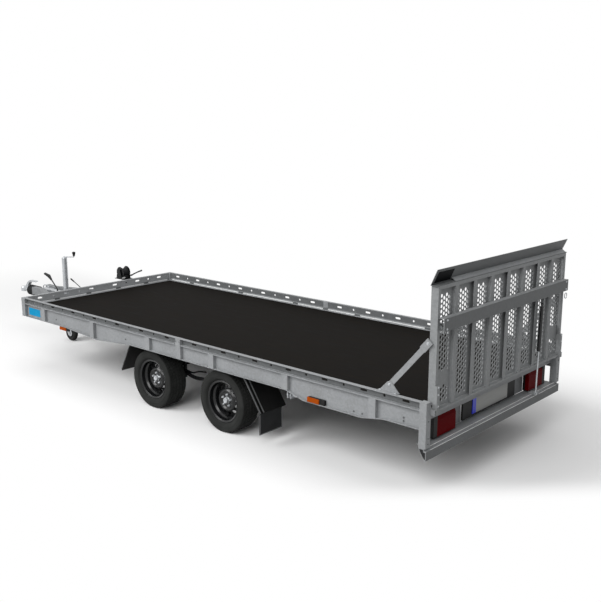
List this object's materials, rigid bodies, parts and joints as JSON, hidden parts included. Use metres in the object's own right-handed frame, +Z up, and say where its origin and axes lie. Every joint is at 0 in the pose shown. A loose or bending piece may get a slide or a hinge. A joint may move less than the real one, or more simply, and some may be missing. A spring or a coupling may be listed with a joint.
{
  "type": "car hauler trailer",
  "caption": "Tandem-axle car hauler trailer with perforated side rails, dark plywood floor, rear loading ramp with lift spring, jockey wheel and hand winch.",
  "frame": {"origin": "on the ground, under the middle of the outline with the ramp raised", "axes": "+X to the right, +Y forward to the coupling, +Z up"},
  "size_m": [2, 6.842, 1.64],
  "materials": {
    "galvanised": "galvanised, matt",
    "zinc": "zinc plated, satin",
    "plywood": "dark phenolic film, matt",
    "black_steel": "black paint, satin",
    "black_plastic": "moulded black, matt",
    "tyre": "black rubber",
    "rubber": "black rubber, matt",
    "red_lens": "clear red lens",
    "amber_lens": "clear amber lens",
    "white_plate": "blank reflective plate"
  },
  "bodies": {
    "chassis": {"axle_front": "black_steel", "axle_rear": "black_steel", "brace_lever": "zinc", "chassis_frame": "galvanised", "coupling_gaiter": "rubber", "coupling_head": "zinc", "drawbar": "galvanised", "floor_panel": "plywood", "front_beam": "galvanised", "handbrake_lever": "zinc", "jockey_clamp": "zinc", "jockey_crank": "zinc", "jockey_tube": "galvanised", "lamp_left_housing": "black_plastic", "lamp_left_lens": "red_lens", "lamp_right_housing": "black_plastic", "lamp_right_lens": "red_lens", "marker_front_left": "amber_lens", "marker_front_right": "amber_lens", "marker_rear_left": "amber_lens", "marker_rear_right": "amber_lens", "mudflap_left": "rubber", "mudflap_right": "rubber", "mudguard_left": "black_plastic", "mudguard_right": "black_plastic", "number_plate": "white_plate", "overrun_housing": "zinc", "plate_holder": "black_plastic", "rail_front": "galvanised", "rail_left": "galvanised", "rail_right": "galvanised", "rear_frame": "galvanised", "side_beam_left": "galvanised", "side_beam_right": "galvanised", "winch_drum": "black_steel", "winch_frame": "black_steel"},
    "ramp": {"ramp_frame": "galvanised", "ramp_tread": "galvanised", "ramp_flap": "galvanised"},
    "stay_left": {"stay_left": "zinc"},
    "stay_right": {"stay_right": "zinc"},
    "spring_tube": {"spring_tube": "black_steel"},
    "spring_rod": {"spring_rod": "zinc"},
    "jockey_leg": {"jockey_leg": "zinc"},
    "jockey_fork": {"jockey_fork": "zinc"},
    "jockey_wheel": {"jockey_wheel": "rubber"},
    "wheel_front_left": {"wheel_front_left_rim": "black_steel", "wheel_front_left_tyre": "tyre"},
    "wheel_front_right": {"wheel_front_right_rim": "black_steel", "wheel_front_right_tyre": "tyre"},
    "wheel_rear_left": {"wheel_rear_left_rim": "black_steel", "wheel_rear_left_tyre": "tyre"},
    "wheel_rear_right": {"wheel_rear_right_rim": "black_steel", "wheel_rear_right_tyre": "tyre"}
  },
  "joints": [
    {"name": "wheel_rear_left_turn", "type": "hinge", "parent": "chassis", "child": "wheel_rear_left", "pos_m": [-0.735, -1.291, 0.2675], "axis": [1, 0, 0], "continuous": true},
    {"name": "wheel_rear_right_turn", "type": "hinge", "parent": "chassis", "child": "wheel_rear_right", "pos_m": [0.735, -1.291, 0.2675], "axis": [1, 0, 0], "continuous": true},
    {"name": "wheel_front_left_turn", "type": "hinge", "parent": "chassis", "child": "wheel_front_left", "pos_m": [-0.735, -0.362, 0.2675], "axis": [1, 0, 0], "continuous": true},
    {"name": "wheel_front_right_turn", "type": "hinge", "parent": "chassis", "child": "wheel_front_right", "pos_m": [0.735, -0.362, 0.2675], "axis": [1, 0, 0], "continuous": true},
    {"name": "ramp_hinge", "type": "hinge", "parent": "chassis", "child": "ramp", "pos_m": [0, -3.374, 0.68], "axis": [1, 0, 0], "range_deg": [0, 134]},
    {"name": "stay_left_hinge", "type": "hinge", "parent": "chassis", "child": "stay_left", "pos_m": [-0.9405, -3.022, 0.8], "axis": [-1, 0, 0], "range_deg": [0, 130]},
    {"name": "stay_right_hinge", "type": "hinge", "parent": "chassis", "child": "stay_right", "pos_m": [0.9405, -3.022, 0.8], "axis": [-1, 0, 0], "range_deg": [0, 130]},
    {"name": "spring_top_hinge", "type": "hinge", "parent": "ramp", "child": "spring_tube", "pos_m": [0.51, -3.404, 1.18], "axis": [1, 0, 0], "range_deg": [-21, 0]},
    {"name": "spring_rod_slide", "type": "slide", "parent": "spring_tube", "child": "spring_rod", "axis": [0, -0.0137, 0.9999], "range_m": [0, 0.335]},
    {"name": "jockey_leg_slide", "type": "slide", "parent": "chassis", "child": "jockey_leg", "axis": [0, 0, 1], "range_m": [0, 0.2]},
    {"name": "jockey_swivel", "type": "hinge", "parent": "jockey_leg", "child": "jockey_fork", "pos_m": [-0.066, 2.314, 0.216], "axis": [0, 0, 1], "continuous": true},
    {"name": "jockey_wheel_turn", "type": "hinge", "parent": "jockey_fork", "child": "jockey_wheel", "pos_m": [-0.066, 2.244, 0.1], "axis": [1, 0, 0], "continuous": true}
  ],
  "couplings": [
    {"joint": "spring_top_hinge", "follows": "ramp_hinge", "ratio": -0.15672},
    {"joint": "spring_rod_slide", "follows": "ramp_hinge", "m_per_rad": 0.14324}
  ]
}
